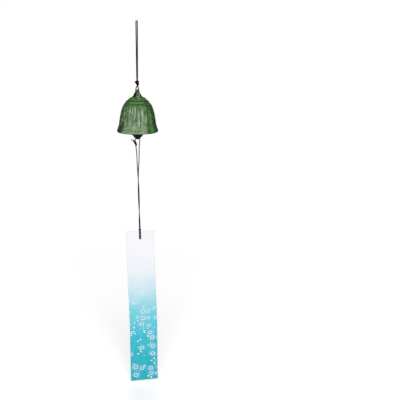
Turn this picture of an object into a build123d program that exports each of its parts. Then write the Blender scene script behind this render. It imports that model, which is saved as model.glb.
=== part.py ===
from build123d import *

import math
import os

# A furin wind bell, in millimetres with +Z up. A cast-iron bell hangs by its eye from a doubled, knotted cord.
# A thread through the bell's neck carries a clapper, and a loop of thread below the clapper carries a long
# paper strip that catches the wind. The origin is the inside top of the cord's bight, where a hook carries it.

# Clearances
running_gap = 0.2
cut_overrun = 1.0
face_margin = 0.1

# Hanging cord, doubled over the hook
cord_diameter = 1.15
cord_strand_gap = 0.2
bight_opening = 0.6
hanger_drop = 76.2

# Knots: how far the core reaches inside the turns, and how close the turns lie, as shares of the strand,
# then how far the core's ends are rounded, as a share of its radius
knot_core_share = 0.25
knot_turn_share = 0.8
knot_round_share = 0.5

# Knot that ties the doubled cord
knot_height = 6.9
knot_width = 4.8
knot_tilt = 24

# Loop of the cord below its knot, through the bell's eye
eye_loop_drop = 5.65
eye_loop_top_width = 2.0
eye_loop_bend = 0.85

# Eye cast across the bell's neck: a bar over a slot that runs from side to side
eye_bar = 1.1
eye_hole_width = 1.9
eye_thickness = 1.5
eye_rise = 0.05
eye_edge_round = 0.35
eye_slot_depth = 2.55

# Bell, heights stacked upwards from the rim
rim_diameter = 54.0
rim_wall = 3.4
lip_round = 1.8
inner_lip_round = 0.8
wall = 2.8
crown_wall = 3.3
inner_shoulder_drop = 1.4
shoulder_radius = 17.4
shoulder_height = 36.6
groove_inset = 2.0
groove_rise = 1.7
groove_bulge = 0.4
bead_inset = 1.8
bead_rise = 2.2
bead_bulge = 0.9
cap_rise = 5.8
cap_bulge = 0.5
neck_base_radius = 6.4
neck_top_radius = 2.95
neck_rise = 7.6
neck_top_round = 0.6
neck_bore = 1.4

# Bell outlines: share of the rim radius with share of the shoulder height, then share of the neck's
# narrowing with share of its rise, then share of the inner shoulder's radius with share of the crown's rise
body_outline_shares = ((0.905, 0.265), (0.858, 0.478), (0.805, 0.694), (0.714, 0.907))
neck_outline_shares = ((0.406, 0.329), (0.812, 0.671), (0.928, 0.829))
crown_outline_shares = (0.62, 0.66)

# Thread, used for the clapper and for the paper strip
thread_diameter = 0.8
thread_gap = 0.2
thread_knot_width = 2.2
thread_knot_height = 3.0
thread_knot_tilt = 18

# Clapper, a cast double cone with an eye on top and a drilled lug below
clapper_hang = 43.5
clapper_diameter = 18.4
clapper_belt = 1.8
clapper_belt_bulge = 0.5
clapper_upper_height = 8.2
clapper_lower_height = 5.6
clapper_top_radius = 1.7
clapper_bottom_radius = 4.1
clapper_eye_bar = 0.9
clapper_eye_hole_width = 1.6
clapper_eye_thickness = 1.2
clapper_eye_rise = 1.8
lug_radius = 2.1
lug_length = 1.8
lug_bore = 1.3
lug_edge_round = 0.3

# Thread loop through the clapper's lug: places across, behind and above the lug's bore, from the left
# strand's foot up to the bore, and from the bore down to the right strand's foot
loop_bend_radius = 0.9
loop_left_route = ((-0.5, 0, -43.0), (-1.0, 0, -33.0), (-1.35, 0, -22.0), (-2.1, 0, -12.0), (-3.5, 0, -5.4))
loop_right_route = ((2.5, 0, -5.0), (1.75, 0, -12.0), (1.65, 0, -22.0), (1.3, 0, -33.0), (0.5, 0, -43.0))
long_tail_route = ((-4.4, -0.5, -5.0), (-5.9, -0.5, -3.5), (-7.3, -0.6, -2.0), (-8.9, -0.7, -1.0))
short_tail_route = ((-4.3, 0.5, -4.9), (-4.7, 0.5, -3.0), (-4.75, 0.6, -1.1))
arc_share = 0.45

# Paper strip and the thread down to it, leaning a little to the right
strip_thread_drop = 79.5
strip_lean = 1.2
strip_width = 37.0
strip_length = 207.0
strip_thickness = 0.3
strip_hole_diameter = 3.2
strip_hole_drop = 10.5
strip_yaw_top = 5
strip_yaw_bottom = 14
strip_bow = 8.0
strip_flat_share = 0.07
strip_stations = 8
hitch_collar_radius = 1.15
hitch_bend_share = 0.25

# Levels and places that follow from the sizes
arc_middle_share = 1 - math.sqrt(1 / 2)
cord_radius = cord_diameter / 2
thread_radius = thread_diameter / 2
thread_spacing = thread_diameter + thread_gap
knot_top = -hanger_drop
knot_bottom = knot_top - knot_height
eye_loop_top = knot_bottom - running_gap - cord_radius
eye_loop_pivot_level = eye_loop_top - eye_loop_top_width / 2
eye_level = eye_loop_top - eye_loop_drop
groove_height = shoulder_height + groove_rise
bead_top_height = groove_height + bead_rise
neck_base_height = bead_top_height + cap_rise
neck_top_height = neck_base_height + neck_rise
cavity_height = neck_base_height - crown_wall
rim_level = eye_level - eye_rise - neck_top_height
saddle_level = eye_level - eye_slot_depth
clapper_pivot_level = rim_level + cavity_height - thread_diameter
clapper_level = clapper_pivot_level - clapper_hang
clapper_top_level = clapper_level + clapper_belt / 2 + clapper_upper_height
clapper_eye_level = clapper_top_level + clapper_eye_rise
clapper_bend_radius = (clapper_eye_hole_width + clapper_eye_bar) / 2
lug_top_level = clapper_level - clapper_belt / 2 - clapper_lower_height
lug_bore_level = lug_top_level - lug_length / 2
loop_leg_place = lug_radius + running_gap + thread_radius
loop_foot_level = lug_bore_level + loop_left_route[0][2]
strip_thread_top = loop_foot_level - running_gap
hitch_level = strip_thread_top - strip_thread_drop
strip_top = hitch_level - hitch_collar_radius - running_gap
strip_hole_level = strip_top - strip_hole_drop


def lathe(edges):
    """Turn a closed outline of edges in the XZ plane about the Z axis."""
    return revolve(make_face(edges), axis=Axis.Z)


def at(radius, height):
    """A point of an outline that is turned about the Z axis."""
    return Vector(radius, 0, height)


def bulged(start, end, bulge):
    """An arc between two outline points that stands out from their chord, to the right of the way along it."""
    chord = end - start
    outward = Vector(chord.Z, 0, -chord.X).normalized()
    return ThreePointArc(start, (start + end) / 2 + outward * bulge, end)


def arc_radii(points):
    """The largest tangent arcs that the runs between the points of a cord allow."""
    radii = []
    for before, point, after in zip(points, points[1:], points[2:]):
        run_in, run_out = point - before, after - point
        half_turn = math.radians(run_in.get_angle(run_out)) / 2
        radii.append(arc_share * min(run_in.length, run_out.length) / math.tan(half_turn))
    return radii


def tube(name, points, radii, diameter, closed=False):
    """A round cord along straight runs joined by tangent arcs, with its figures printed."""
    path = FilletPolyline(*points, radius=radii, close=closed)
    section = Plane(origin=path @ 0, z_dir=path % 0) * Circle(diameter / 2)
    cord = sweep(section, path=path)
    expected = math.pi * diameter**2 / 4 * path.length
    print(name, "length", round(path.length, 1), "radii", [round(radius, 1) for radius in radii],
          "volume", round(cord.volume, 2), "of", round(expected, 2))
    return cord


def knot(width, height, strand_diameter, tilt):
    """A tied knot about the origin: a rounded core inside two tilted turns of the strand."""
    turn_radius = (width - strand_diameter) / 2
    core_radius = turn_radius - strand_diameter * knot_core_share
    core = Cylinder(core_radius, height)
    tied = fillet(core.edges().filter_by(GeomType.CIRCLE), core_radius * knot_round_share)
    for side in (-1, 1):
        turn = Pos(0, 0, side * strand_diameter * knot_turn_share) * Torus(turn_radius, strand_diameter / 2)
        tied += Rot(0, tilt, 0) * turn
    return tied


def eye(level, base_level, bar, hole_width, thickness, hole_foot):
    """An upright eye with its hole along Y: round on top, with straight sides down to its base."""
    hole_radius = hole_width / 2
    outer_radius = hole_radius + bar
    outline = Pos(0, level) * Circle(outer_radius)
    outline += Pos(0, (level + base_level) / 2) * Rectangle(2 * outer_radius, level - base_level)
    foot_centre = hole_foot + hole_radius
    hole = Pos(0, level) * Circle(hole_radius)
    hole += Pos(0, foot_centre) * Circle(hole_radius)
    hole += Pos(0, (level + foot_centre) / 2) * Rectangle(hole_width, level - foot_centre)
    plate = extrude(Plane.XZ * (outline - hole), amount=thickness / 2, both=True)
    rims = plate.edges().filter_by(lambda edge: abs(edge.center().Y) > thickness / 2 - face_margin)
    rims = rims.filter_by(lambda edge: edge.center().Z > level)
    return fillet(rims, eye_edge_round)


def hanger_cord():
    """The doubled cord: two legs up from the knot, round the bight over the hook."""
    foot = (cord_diameter + cord_strand_gap) / 2
    top = (bight_opening + cord_diameter) / 2
    foot_level = knot_top + running_gap
    points = [Vector(-foot, 0, foot_level), Vector(-top, 0, cord_radius),
              Vector(top, 0, cord_radius), Vector(foot, 0, foot_level)]
    return tube("hanger_cord", points, arc_radii(points), cord_diameter)


def eye_loop():
    """The cord's loop below its knot: down both sides of the bell's eye and through under its bar."""
    top = eye_loop_top_width / 2
    foot = eye_thickness / 2 + running_gap + cord_radius
    points = [Vector(-top, 0, eye_loop_top), Vector(-foot, 0, eye_level),
              Vector(foot, 0, eye_level), Vector(top, 0, eye_loop_top)]
    return tube("eye_loop", points, [eye_loop_bend] * len(points), cord_diameter, closed=True)


def bell_inner_outline(rim_radius):
    """The bell's hollow, from the crown on the axis down to the inner edge of the lip."""
    inner_shoulder = at(shoulder_radius - wall, shoulder_height - inner_shoulder_drop)
    crown_radius_share, crown_rise_share = crown_outline_shares
    crown_rise = cavity_height - inner_shoulder.Z
    crown = at(inner_shoulder.X * crown_radius_share, inner_shoulder.Z + crown_rise * crown_rise_share)
    wall_points = [at(rim_radius * radius_share - wall, shoulder_height * height_share)
                   for radius_share, height_share in reversed(body_outline_shares)]
    lip_radius = rim_radius - rim_wall
    lip_top = at(lip_radius, inner_lip_round)
    lip_middle = at(lip_radius + inner_lip_round * arc_middle_share, inner_lip_round * arc_middle_share)
    hollow = Spline(at(0, cavity_height), crown, inner_shoulder, *wall_points[1:], lip_top,
                    tangents=[Vector(1, 0, 0), Vector(0, 0, -1)])
    return [hollow, ThreePointArc(lip_top, lip_middle, at(lip_radius + inner_lip_round, 0))]


def bell_outer_outline(rim_radius):
    """The bell's outside, from the foot of the lip up to the axis on top of the neck."""
    lip_foot = at(rim_radius - lip_round, 0)
    lip_side = at(rim_radius, lip_round)
    lip_middle = at(rim_radius - lip_round * arc_middle_share, lip_round * arc_middle_share)
    body_points = [at(rim_radius * radius_share, shoulder_height * height_share)
                   for radius_share, height_share in body_outline_shares]
    shoulder = at(shoulder_radius, shoulder_height)
    groove = at(shoulder_radius - groove_inset, groove_height)
    bead_top = at(groove.X - bead_inset, bead_top_height)
    neck_base = at(neck_base_radius, neck_base_height)
    neck_top = at(neck_top_radius, neck_top_height)
    narrowing = neck_base_radius - neck_top_radius
    neck_points = [at(neck_base_radius - narrowing * radius_share, neck_base_height + neck_rise * height_share)
                   for radius_share, height_share in neck_outline_shares]
    return [
        ThreePointArc(lip_foot, lip_middle, lip_side),
        Spline(lip_side, *body_points, shoulder),
        bulged(shoulder, groove, groove_bulge),
        bulged(groove, bead_top, bead_bulge),
        bulged(bead_top, neck_base, cap_bulge),
        Spline(neck_base, *neck_points, neck_top),
        Line(neck_top, at(0, neck_top_height)),
    ]


def across_neck(height_above_foot):
    """A slot through the neck from side to side, with a round foot, up to a height above the foot's middle."""
    length = 2 * (neck_base_radius + cut_overrun)
    foot = Rot(0, 90, 0) * Cylinder(eye_hole_width / 2, length)
    return foot + Pos(0, 0, height_above_foot / 2) * Box(length, eye_hole_width, height_above_foot)


def bell_body():
    """The cast bell: a lipped shell with a beaded shoulder, a drilled neck and an eye on top."""
    rim_radius = rim_diameter / 2
    inner = bell_inner_outline(rim_radius)
    outer = bell_outer_outline(rim_radius)
    foot = Line(inner[-1] @ 1, outer[0] @ 0)
    axis_line = Line(outer[-1] @ 1, inner[0] @ 0)
    shell = lathe(inner + [foot] + outer + [axis_line])
    neck_edge = shell.edges().filter_by(GeomType.CIRCLE).sort_by(Axis.Z)[-1]
    shell = Pos(0, 0, rim_level) * fillet(neck_edge, neck_top_round)
    neck_top_level = rim_level + neck_top_height
    slot_middle = saddle_level + eye_hole_width / 2
    shell -= Pos(0, 0, slot_middle) * across_neck(neck_top_level + cut_overrun - slot_middle)
    ring = eye(eye_level, saddle_level - eye_bar, eye_bar, eye_hole_width, eye_thickness, saddle_level)
    bore_foot = rim_level + cavity_height - cut_overrun
    bore_length = slot_middle - bore_foot
    bore = Pos(0, 0, bore_foot + bore_length / 2) * Cylinder(neck_bore / 2, bore_length)
    return shell + Rot(0, 0, 90) * ring - bore


def stopper_knot():
    """The knot in the slot's foot that keeps the clapper's thread from slipping down the neck."""
    hole_radius = eye_hole_width / 2
    return Pos(0, 0, saddle_level + hole_radius) * Sphere(hole_radius - running_gap)


def neck_thread():
    """The clapper's thread inside the neck, down to a round end at the clapper's pivot."""
    top = saddle_level + eye_hole_width / 2
    length = top - clapper_pivot_level
    straight = Pos(0, 0, clapper_pivot_level + length / 2) * Cylinder(thread_radius, length)
    return straight + Pos(0, 0, clapper_pivot_level) * Sphere(thread_radius)


def clapper_thread():
    """The thread from the clapper's pivot down to the knot above the clapper."""
    top = clapper_pivot_level - thread_radius - running_gap
    foot = clapper_knot_level() + thread_knot_height / 2
    return Pos(0, 0, (top + foot) / 2) * Cylinder(thread_radius, top - foot)


def clapper_tie():
    """The thread's turn through the clapper's eye, round the eye's bar."""
    level = clapper_eye_level + clapper_bend_radius
    return Pos(0, 0, level) * Rot(0, 90, 0) * Torus(clapper_bend_radius, thread_radius)


def clapper_knot_level():
    """The middle of the knot that closes the thread's loop round the clapper's eye."""
    return clapper_eye_level + 2 * clapper_bend_radius + thread_radius + thread_knot_height / 2


def clapper():
    """The cast double cone, with its eye on top and the drilled lug that the strip's loop runs through."""
    radius = clapper_diameter / 2 - clapper_belt_bulge
    belt_top = at(radius, clapper_level + clapper_belt / 2)
    belt_foot = at(radius, clapper_level - clapper_belt / 2)
    top = at(clapper_top_radius, clapper_top_level)
    bottom = at(clapper_bottom_radius, lug_top_level)
    cones = lathe([
        Line(at(0, clapper_top_level), top),
        Line(top, belt_top),
        bulged(belt_foot, belt_top, clapper_belt_bulge),
        Line(belt_foot, bottom),
        Line(bottom, at(0, lug_top_level)),
        Line(at(0, lug_top_level), at(0, clapper_top_level)),
    ])
    lug = Pos(0, 0, lug_top_level - lug_length / 2) * Cylinder(lug_radius, lug_length)
    lug = fillet(lug.edges().filter_by(GeomType.CIRCLE).sort_by(Axis.Z)[0], lug_edge_round)
    ring = eye(clapper_eye_level, clapper_top_level - clapper_eye_bar, clapper_eye_bar, clapper_eye_hole_width,
               clapper_eye_thickness, clapper_eye_level - clapper_eye_hole_width)
    bore = Pos(0, 0, lug_bore_level) * Rot(0, 90, 0) * Cylinder(lug_bore / 2, 2 * (lug_radius + cut_overrun))
    return cones + lug + ring - bore


def below_lug(route):
    """Places of a thread route, measured from the bore of the clapper's lug."""
    return [Vector(across, behind, lug_bore_level + rise) for across, behind, rise in route]


def pull_loop():
    """The thread loop: up the left strand, through the clapper's lug and down the right strand."""
    left, right = below_lug(loop_left_route), below_lug(loop_right_route)
    corners = [Vector(side * loop_leg_place, 0, lug_bore_level) for side in (-1, 1)]
    points = left + corners + right
    radii = arc_radii(points)
    first_bend = len(left) - 1
    radii[first_bend] = radii[first_bend + 1] = loop_bend_radius
    return tube("pull_loop", points, radii, thread_diameter)


def loop_knot():
    """The knot that closes the thread loop, on its left strand."""
    place = below_lug(loop_left_route)[-1]
    return Pos(place) * knot(thread_knot_width, thread_knot_height, thread_diameter, thread_knot_tilt)


def loop_tails():
    """The loop's two cut thread ends, standing up from its knot."""
    tails = []
    for name, route in (("long_tail", long_tail_route), ("short_tail", short_tail_route)):
        points = below_lug(route)
        tails.append(tube(name, points, arc_radii(points), thread_diameter))
    return Compound(children=tails)


def leaned(shape):
    """Lean what hangs below the thread loop, about the loop's foot."""
    return Pos(0, 0, loop_foot_level) * Rot(0, -strip_lean, 0) * Pos(0, 0, -loop_foot_level) * shape


def strip_thread():
    """The two strands side by side, from the loop's foot down to the hitch on the strip."""
    foot = hitch_level + hitch_collar_radius + running_gap
    length = strip_thread_top - foot
    strands = [leaned(Pos(side * thread_spacing / 2, 0, foot + length / 2) * Cylinder(thread_radius, length))
               for side in (-1, 1)]
    return Compound(children=strands)


def strip_hitch():
    """The hitch on the strip: two hairpins through its hole, drawn into a collar above its top edge."""
    leg = strip_thickness / 2 + running_gap + thread_radius
    bend_level = strip_hole_level + strip_hole_diameter * hitch_bend_share
    hitch = Pos(0, 0, hitch_level) * Sphere(hitch_collar_radius)
    for side in (-1, 1):
        across = side * thread_spacing / 2
        points = [Vector(across, -leg, hitch_level), Vector(across, -leg, bend_level),
                  Vector(across, leg, bend_level), Vector(across, leg, hitch_level)]
        hitch += tube("strip_hitch", points, arc_radii(points), thread_diameter)
    return leaned(Rot(0, 0, strip_yaw_top) * hitch)


def strip_section(share):
    """The strip's cross-section at a share of its length from the top, turned by its yaw and bowed forward."""
    bowed_share = max(0, share - strip_flat_share) / (1 - strip_flat_share)
    bow = strip_bow * math.sin(math.pi * bowed_share) ** 2
    yaw = math.radians(strip_yaw_top + (strip_yaw_bottom - strip_yaw_top) * bowed_share)
    across = Vector(math.cos(yaw), math.sin(yaw), 0)
    forward = Vector(math.sin(yaw), -math.cos(yaw), 0)
    middle = Vector(0, 0, strip_top - strip_length * share) + forward * bow
    return Plane(origin=middle, x_dir=across, z_dir=Vector(0, 0, 1)) * Rectangle(strip_width, strip_thickness)


def paper_strip():
    """The paper strip, punched near its top edge for the thread."""
    shares = [0] + [strip_flat_share + (1 - strip_flat_share) * index / strip_stations
                    for index in range(strip_stations + 1)]
    sheet = loft([strip_section(share) for share in shares])
    punch = Pos(0, 0, strip_hole_level) * Rot(90, 0, 0) * Cylinder(strip_hole_diameter / 2, 2 * cut_overrun)
    return leaned(sheet - Rot(0, 0, strip_yaw_top) * punch)


nodes = {
    "hanger_cord": hanger_cord(),
    "hanger_knot": Pos(0, 0, (knot_top + knot_bottom) / 2)
    * knot(knot_width, knot_height, cord_diameter, knot_tilt),
    "eye_loop": eye_loop(),
    "bell_body": bell_body(),
    "stopper_knot": stopper_knot(),
    "neck_thread": neck_thread(),
    "clapper_thread": clapper_thread(),
    "clapper_knot": Pos(0, 0, clapper_knot_level())
    * knot(thread_knot_width, thread_knot_height, thread_diameter, thread_knot_tilt),
    "clapper_tie": clapper_tie(),
    "clapper": clapper(),
    "pull_loop": pull_loop(),
    "loop_knot": loop_knot(),
    "loop_tails": loop_tails(),
    "strip_thread": strip_thread(),
    "strip_hitch": strip_hitch(),
    "paper_strip": paper_strip(),
}

os.makedirs("parts", exist_ok=True)
for node, shape in nodes.items():
    export_step(shape, os.path.join("parts", node + ".step"))
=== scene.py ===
import math

import bmesh
import bpy
import numpy as np
from mathutils import Matrix, Vector


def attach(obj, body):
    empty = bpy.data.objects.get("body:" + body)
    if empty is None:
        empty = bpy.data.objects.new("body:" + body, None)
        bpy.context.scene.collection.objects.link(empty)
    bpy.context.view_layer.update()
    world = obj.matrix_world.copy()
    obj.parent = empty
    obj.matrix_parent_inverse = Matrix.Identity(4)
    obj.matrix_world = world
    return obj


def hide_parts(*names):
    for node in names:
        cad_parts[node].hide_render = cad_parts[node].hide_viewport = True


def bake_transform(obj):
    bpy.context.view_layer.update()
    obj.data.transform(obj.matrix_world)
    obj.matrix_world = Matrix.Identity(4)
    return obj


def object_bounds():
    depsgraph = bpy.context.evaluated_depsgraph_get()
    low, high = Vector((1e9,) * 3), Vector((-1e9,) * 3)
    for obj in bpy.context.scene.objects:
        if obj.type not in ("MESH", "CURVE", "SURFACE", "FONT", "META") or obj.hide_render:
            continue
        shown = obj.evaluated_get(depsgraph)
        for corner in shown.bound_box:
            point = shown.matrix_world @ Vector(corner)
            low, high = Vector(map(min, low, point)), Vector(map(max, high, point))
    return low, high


# A furin wind bell: a painted cast bell on a doubled cord, its clapper on a thread and a paper strip below.
# Sizes are in millimetres and heights are measured from the hook, unless a heading says otherwise.

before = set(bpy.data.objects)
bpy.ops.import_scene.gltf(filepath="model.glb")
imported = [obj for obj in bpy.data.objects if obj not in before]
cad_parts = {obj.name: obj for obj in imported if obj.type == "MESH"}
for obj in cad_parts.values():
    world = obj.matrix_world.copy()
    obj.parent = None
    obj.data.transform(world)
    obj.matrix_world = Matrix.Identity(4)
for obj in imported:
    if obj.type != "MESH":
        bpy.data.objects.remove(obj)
cad_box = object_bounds()

MM = 0.001
SEED = 11

# Corners of a mesh that lie nearer than this are merged
WELD = 0.001

# Camera, in metres
CAMERA_PLACE = (0.0815, -1.70, 0.1106)
CAMERA_PITCH = 78.53
CAMERA_LENS = 118.2
CAMERA_SENSOR = 36.0

# Lamps: the direction towards each, its strength and its width in degrees, then the even light of the room
KEY_LAMP = ((0.06, -1.0, 0.42), 2.65, 24)
BACK_LAMP = ((0, 1.0, 0.40), 1.1, 24)
ROOM_LIGHT = 0.11

# Floor: its drop below the strip, its side in metres, its grey level and the glow that makes it look white
FLOOR_GAP = 4.0
FLOOR_SIDE = 30.0
FLOOR_WHITE = 0.8
FLOOR_GLOW = 0.555

# Levels of the solids
KNOT_MIDDLE = -79.15
RIM_LEVEL = -143.475
PIVOT_LEVEL = -101.275
CLAPPER_KNOT_LEVEL = -129.475
LUG_LEVEL = -152.175
LOOP_FOOT_LEVEL = -195.175
HITCH_LEVEL = -274.875
STRIP_TOP = -276.225
STRIP_HOLE_LEVEL = -286.725

# Cords and threads: drawn diameters, the length of one turn of their plies, and the furrows between the plies
CORD_DIAMETER = 1.45
CORD_LAY = 4.2
EYE_LOOP_DIAMETER = 1.5
THREAD_DIAMETER = 1.1
LOOP_DIAMETER = 1.25
THREAD_LAY = 2.6
PLIES = 3
PLY_DEPTH_SHARE = 0.18
PLY_POWER = 0.7
CORD_SIDES = 18
SPLINE_STEPS = 40

# A line whose start runs nearer the Y axis than this takes its cross directions from the X axis
NEAR_Y_SHARE = 0.8

# Tied knots: width, height and depth of the line, its tilt in degrees, and the diameter of the cord
CORD_KNOT = (3.2, 5.2, 2.2, -22, 2.1)
STOPPER_KNOT = (1.0, 0.9, 0.4, 0, 0.55)
CLAPPER_KNOT = (2.0, 2.4, 0.8, 0, 0.85)
LOOP_KNOT = (2.1, 4.2, 1.1, -26, 1.3)
HITCH_KNOT = (2.2, 2.6, 0.9, 0, 1.2)

# Steps along a knot's line and round a ring of thread, and the width of a knot's line before it is scaled
KNOT_STEPS = 120
RING_STEPS = 60
KNOT_SPAN = 5.0

# The doubled cord, up its left leg, over the hook and down its right leg
HANGER_ROUTE = (
    (-0.1, -0.2, -78.0), (-0.42, -0.55, -75.6), (-0.52, -0.54, -60.0), (-0.64, -0.40, -42.0),
    (-0.80, -0.14, -22.0), (-0.875, 0, -6.9), (-0.875, 0, -1.4), (-0.875, 0, 0.575),
    (0.875, 0, 0.575), (0.875, 0, -1.4), (0.875, 0, -6.9),
    (0.80, 0.14, -22.0), (0.64, 0.40, -42.0), (0.52, 0.54, -60.0), (0.42, 0.55, -75.6), (0.1, 0.2, -78.0),
)

# The cord's loop below the knot, round the bar of the bell's eye
EYE_LOOP_ROUTE = (
    (0.5, -0.2, -81.6), (0.1, -0.3, -83.0), (-0.8, -0.1, -84.2), (-1.3, 0, -85.6), (-1.7, 0, -87.2),
    (-1.9, 0, -88.6), (-1.85, 0, -89.6), (-0.8, 0, -89.55), (0.8, 0, -89.55), (1.85, 0, -89.6),
    (1.9, 0, -88.6), (1.7, 0, -87.2), (1.3, 0, -85.6), (0.8, 0.1, -84.2), (0.3, 0.3, -83.0),
    (0.5, 0.2, -81.6),
)

# The thread loop, measured from the bore of the clapper's lug
LOOP_ROUTE = (
    (-0.5, 0, -43.0), (-1.0, 0, -33.0), (-1.35, 0, -22.0), (-2.1, 0, -12.0), (-3.5, 0, -5.4),
    (-2.9, 0, -1.7), (-2.75, 0, 0.05), (-1.6, 0, 0), (1.6, 0, 0), (2.75, 0, 0.05), (2.8, 0, -1.5),
    (2.5, 0, -5.0), (1.75, 0, -12.0), (1.65, 0, -22.0), (1.3, 0, -33.0), (0.5, 0, -43.0),
)
LOOP_KNOT_PLACE = (-2.75, 0, -6.9)
LONG_TAIL_ROUTE = (
    (-3.5, -0.4, -5.4), (-4.4, -0.5, -5.0), (-5.9, -0.5, -3.5), (-7.3, -0.6, -2.0), (-8.9, -0.7, -1.0),
)
SHORT_TAIL_ROUTE = ((-3.5, 0.4, -5.7), (-4.4, 0.5, -4.9), (-4.9, 0.5, -3.2), (-4.9, 0.6, -1.2))
SHORT_TAIL_DIAMETER = 1.5

# One strand down to the strip, turning slowly round its twin: across, behind and below the loop's foot
STRAND_ROUTE = (
    (-0.50, -0.05, 0.2), (-0.40, -0.42, -5.0), (0, -0.58, -12.0), (0.46, -0.38, -22.0), (0.58, 0, -33.0),
    (0.44, 0.40, -44.0), (0, 0.58, -55.0), (-0.44, 0.40, -64.0), (-0.58, 0.06, -72.0), (-0.50, 0, -78.8),
)

# The lean of the strip about the loop's foot, in degrees
STRIP_LEAN = 1.2

# Hitch on the strip, a doubled thread: its route is measured from the middle of the hole
HITCH_WIDTH = 2.7
HITCH_LAY = 7.0
HITCH_PLIES = 2
HITCH_DEPTH_SHARE = 0.35
HITCH_ROUTE = (
    (0, -0.7, 10.8), (0, -1.4, 9.4), (0, -1.45, 6.0), (0, -1.45, 2.8), (0, -1.3, 0.5),
    (0, 0, 0.15), (0, 1.3, 0.5), (0, 1.45, 2.8), (0, 1.45, 6.0), (0, 1.4, 9.4), (0, 0.7, 10.8),
)

# Paper strip: its cut size and hole, then how it turns in degrees, bows and is divided
STRIP_WIDTH = 37.0
STRIP_LENGTH = 207.0
STRIP_THICKNESS = 0.3
STRIP_HOLE_DIAMETER = 3.2
STRIP_HOLE_DROP = 10.5
STRIP_YAW_TOP = 5
STRIP_YAW_BOTTOM = 14
STRIP_BOW = 8.0
STRIP_FLAT_SHARE = 0.07
STRIP_COLUMNS = 37
STRIP_ROWS = 207

# Print on the strip: where it starts below the top, then the scatter of its rings, with shares of a ring's
# radius or of the wave that draws it
PRINT_START = (62.0, 118.0)
RING_CELL = 11.8
RING_SQUEEZE = 1.15
RING_RANDOM = 0.68
RING_SIZES = (1.8, 2.7)
RING_FAINT = 0.3
RING_FADE_SHARES = (1.2, 1.6)
RING_END_SHARES = (2.0, 2.3)
RING_EDGE_SHARES = (0.0, 0.7)
RING_SHADE = 0.45
SHADE_EDGE_SHARES = (-0.2, -0.9)
RING_GAPS = 0.40

# Drops of the print, and the slanting trails in which they gather
DROP_CELL = (4.6, 3.0)
DROP_RANDOM = 0.5
DROP_EDGE = (0.22, 0.36)
TRAIL_SLANT = 45
TRAIL_SIZE = (5.0, 22.0)
TRAIL_EDGE = (0.56, 0.62)

# The hole punched in the strip's mesh: half the patch of the grid that it takes, and the rings that fill this
HOLE_PATCH = 3
HOLE_RINGS = 3

# Bell outline, radius and height above the rim
LIP_CENTRE = (25.2, 1.8)
LIP_ROUND = 1.8
LIP_STEP = 10
BODY_OUTLINE = ((27.0, 1.8), (24.435, 9.70), (23.166, 17.49), (21.735, 25.40), (19.278, 33.20), (17.4, 36.6))
BODY_TOP = BODY_OUTLINE[-1][1]
GROOVE = (15.5, 38.5)
GROOVE_BULGE = 0.4
BEAD_TOP = (13.2, 41.2)
BEAD_BULGE = 0.9
NECK_OUTLINE = ((6.4, 46.3), (5.0, 48.8), (3.6, 51.4), (3.2, 52.6), (2.95, 53.3))
CAP_BULGE = 0.8
NECK_TOP_OUTLINE = ((2.95, 53.3), (2.77, 53.72), (2.35, 53.9), (0.7, 53.9))
BORE_OUTLINE = ((0.7, 53.9), (0.7, 43.0))
INNER_OUTLINE = (
    (0.7, 43.0), (9.05, 40.35), (14.6, 35.2), (18.935, 25.4),
    (20.366, 17.49), (21.635, 9.7), (23.6, 0.8), (24.4, 0),
)
OUTER_STEP = 0.36
INNER_STEP = 1.9
BELL_TURNS = 440

# Slot across the neck's top, for the cord, and the eye's bar over it: across the slot and above the rim
SLOT_WIDTH = 1.9
SLOT_FOOT = 51.4
SLOT_SIDES = 24
EYE_ROUTE = ((-1.5, 52.2), (-1.5, 53.9), (-1.5, 55.45), (1.5, 55.45), (1.5, 53.9), (1.5, 52.2))
EYE_BAR = 1.1
EYE_THICKNESS = 1.5
EYE_CORNER_POWER = 0.6
EYE_WORN = 0.42
EYE_DIRT = 0.45

# The clapper's thread: its stopper above the rim, the drop to a point in the neck, its gaps at the pivot, a
# level halfway down, its overlap with the knot, and the ring through the clapper's eye
STOPPER_HEIGHT = 52.35
NECK_STRAND_DROP = 3
PIVOT_GAPS = (0.3, 0.6)
CLAPPER_STRAND_MIDDLE = -115
CLAPPER_STRAND_OVERLAP = 1
CLAPPER_RING_FOOT = 9.6
CLAPPER_RING_RADIUS = 1.25


def in_metres(points, lift=0):
    """Points in metres, from millimetres, raised by a level in millimetres."""
    return [Vector((x, y, z + lift)) * MM for x, y, z in points]


def plumb(levels, lift=0):
    """Points straight below the hook, in metres, at levels in millimetres."""
    return in_metres([(0, 0, level) for level in levels], lift)


def spline_points(route):
    """Points along the smooth NURBS line that a route's points control."""
    curve = bpy.data.curves.new("route", "CURVE")
    curve.dimensions = "3D"
    spline = curve.splines.new("NURBS")
    spline.points.add(len(route) - 1)
    for point, place in zip(spline.points, route):
        point.co = (*place, 1)
    spline.order_u = 3
    spline.use_endpoint_u = True
    spline.resolution_u = SPLINE_STEPS
    carrier = bpy.data.objects.new("route", curve)
    mesh = bpy.data.meshes.new_from_object(carrier)
    points = [vertex.co.copy() for vertex in mesh.vertices]
    bpy.data.objects.remove(carrier)
    bpy.data.curves.remove(curve)
    bpy.data.meshes.remove(mesh)
    return points


def new_piece(name, vertices, faces, uvs=None, smooth=True):
    """A mesh object from lists of places, faces and one texture place for each vertex."""
    mesh = bpy.data.meshes.new(name)
    mesh.from_pydata([tuple(v) for v in vertices], [], faces)
    if uvs is not None:
        layer = mesh.uv_layers.new(name="UVMap")
        corners = np.empty(len(mesh.loops), dtype=np.int32)
        mesh.loops.foreach_get("vertex_index", corners)
        layer.data.foreach_set("uv", np.asarray(uvs, dtype=np.float32)[corners].ravel())
    mesh.polygons.foreach_set("use_smooth", [smooth] * len(mesh.polygons))
    mesh.update()
    piece = bpy.data.objects.new(name, mesh)
    bpy.context.scene.collection.objects.link(piece)
    return piece


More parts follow.
